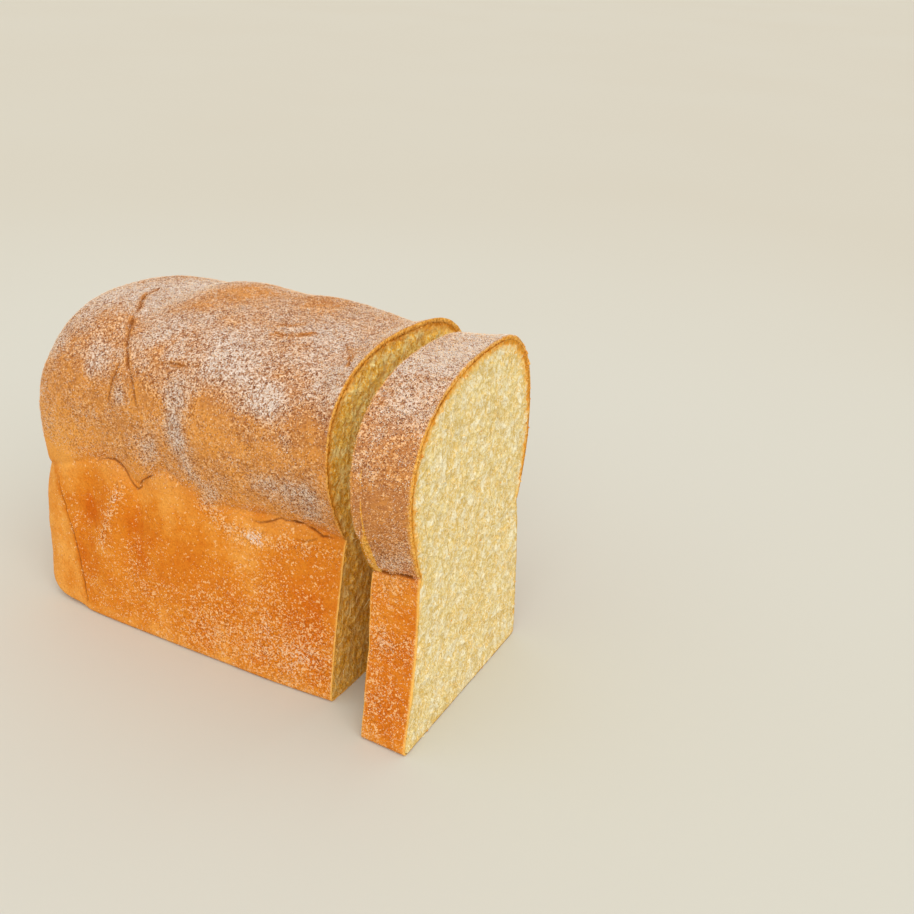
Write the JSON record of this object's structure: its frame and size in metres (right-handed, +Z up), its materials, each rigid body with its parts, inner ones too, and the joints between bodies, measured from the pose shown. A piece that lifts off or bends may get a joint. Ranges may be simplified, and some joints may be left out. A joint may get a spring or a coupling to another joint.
{
  "type": "cornbread loaf",
  "caption": "Tin loaf of yellow corn bread, cut square at one end, with a browned, dusted dome and a thick slice standing before the cut.",
  "frame": {"origin": "middle of the bottom of the box round the whole, on the table under it", "axes": "+X along the loaf towards its cut and the slice, +Y across it to the far side, +Z up"},
  "size_m": [0.2016, 0.1176, 0.1429],
  "materials": {
    "crust": "matt golden to reddish brown baked crust under a fine white dusting",
    "crumb": "matt pale warm yellow open crumb"
  },
  "bodies": {
    "root": {"loaf": "crust", "slice": "crumb"}
  },
  "joints": []
}
